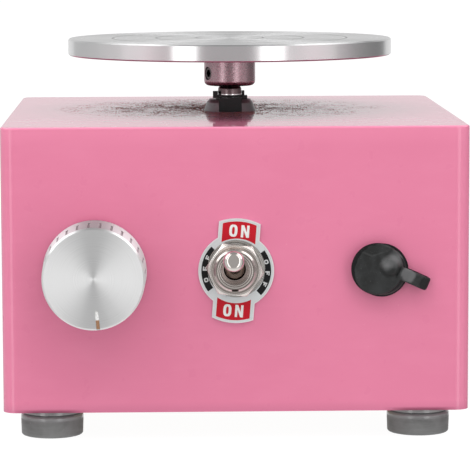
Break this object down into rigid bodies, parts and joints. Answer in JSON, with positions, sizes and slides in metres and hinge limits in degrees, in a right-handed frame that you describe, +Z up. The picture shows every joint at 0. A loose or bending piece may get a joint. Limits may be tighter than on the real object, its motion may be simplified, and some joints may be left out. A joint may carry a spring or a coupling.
{
  "type": "pottery wheel",
  "caption": "Small tabletop pottery wheel: turned aluminium turntable driven by a motor in a painted box, with speed knob, reversing toggle switch and capped power inlet.",
  "frame": {"origin": "on the table surface, under the turntable's axis", "axes": "+Z up along the turntable's axis, -Y out of the front panel with the controls, +X to the right seen from the front"},
  "size_m": [0.132, 0.1523, 0.111],
  "materials": {
    "pink_paint": "glossy pink lacquer over MDF",
    "raw_board": "bare fibreboard",
    "foot_rubber": "translucent grey soft PVC, slightly glossy",
    "zinc_steel": "zinc plated",
    "motor_steel": "plated drawn steel",
    "magnet": "matt ferrite",
    "bronze": "sintered bronze",
    "contact_brass": "tinned brass",
    "carbon": "pressed carbon",
    "boss_metal": "dull grey die casting",
    "black_plastic": "moulded black plastic",
    "phenolic": "dark phenolic",
    "board_green": "solder mask",
    "terminal_green": "moulded green plastic",
    "foil_sleeve": "sleeved aluminium",
    "transistor_black": "epoxy",
    "copper": "enamelled copper",
    "laminations": "stacked silicon steel",
    "shaft_steel": "ground steel",
    "collar_steel": "dull turned steel",
    "bright_washer": "bright steel",
    "hub_metal": "satin sand-blasted alloy",
    "black_oxide": "black oxide steel",
    "turned_aluminium": "turned, bright",
    "knob_aluminium": "spun face, bright bevel",
    "nickel": "bright nickel plate",
    "label_metal": "satin label plate, printed fields",
    "cap_rubber": "soft black rubber",
    "red_insulation": "PVC insulation",
    "black_insulation": "PVC insulation"
  },
  "bodies": {
    "root": {"housing": "pink_paint", "bottom_panel": "raw_board", "corner_blocks": "raw_board", "foot_front_left": "foot_rubber", "foot_front_right": "foot_rubber", "foot_rear_left": "foot_rubber", "foot_rear_right": "foot_rubber", "foot_screws": "zinc_steel", "motor_bracket": "zinc_steel", "bracket_screws": "zinc_steel", "motor_screws": "zinc_steel", "motor_can": "motor_steel", "front_bearing": "bronze", "motor_magnets": "magnet", "motor_end_cap": "motor_steel", "rear_bearing": "bronze", "brush_holders": "contact_brass", "brushes": "carbon", "bearing_housing": "boss_metal", "shaft_bush": "black_plastic", "pot_body": "zinc_steel", "pot_bushing": "contact_brass", "pot_nut": "nickel", "pot_terminals": "contact_brass", "controller_board": "board_green", "terminal_block": "terminal_green", "board_capacitor": "foil_sleeve", "board_transistor": "transistor_black", "switch_label_plate": "label_metal", "switch_bushing": "nickel", "switch_lock_washer": "nickel", "switch_front_nut": "nickel", "switch_rear_nut": "nickel", "switch_body": "phenolic", "switch_terminals": "contact_brass", "jack_body": "black_plastic", "jack_nut": "nickel", "jack_center_pin": "nickel", "jack_contacts": "contact_brass", "cap_tether": "cap_rubber", "wires_red": "red_insulation", "wires_black": "black_insulation"},
    "turntable": {"motor_shaft": "shaft_steel", "rotor_core": "laminations", "rotor_winding": "copper", "commutator": "copper", "thrust_washer": "bright_washer", "shaft_collar": "collar_steel", "turntable_hub": "hub_metal", "hub_grub_screw": "black_oxide", "turntable_disc": "turned_aluminium"},
    "speed_control": {"pot_shaft": "shaft_steel", "pot_wiper": "contact_brass", "speed_knob": "knob_aluminium", "knob_insert": "black_plastic"},
    "toggle": {"switch_lever": "nickel", "switch_plunger": "black_plastic"},
    "rocker": {"contact_rocker": "contact_brass"},
    "inlet_cap": {"dust_cap": "cap_rubber"}
  },
  "joints": [
    {"name": "turntable_spin", "type": "hinge", "parent": "root", "child": "turntable", "pos_m": [0, 0, 0.1], "axis": [0, 0, 1], "continuous": true},
    {"name": "speed_turn", "type": "hinge", "parent": "root", "child": "speed_control", "pos_m": [-0.0397, -0.066, 0.0485], "axis": [0, 1, 0], "range_deg": [0, 300]},
    {"name": "lever_throw", "type": "hinge", "parent": "root", "child": "toggle", "pos_m": [-0.00045, -0.0675, 0.0492], "axis": [1, 0, 0], "range_deg": [0, 28]},
    {"name": "rocker_tilt", "type": "hinge", "parent": "root", "child": "rocker", "pos_m": [-0.00045, -0.0498, 0.0492], "axis": [1, 0, 0], "range_deg": [-19.5, 0]},
    {"name": "cap_hinge", "type": "hinge", "parent": "root", "child": "inlet_cap", "pos_m": [0.052, -0.06825, 0.04534], "axis": [0.4099, 0, 0.9121], "range_deg": [0, 110], "deforming": ["cap_tether"]}
  ],
  "couplings": [
    {"joint": "rocker_tilt", "follows": "lever_throw", "ratio": -0.68571}
  ]
}
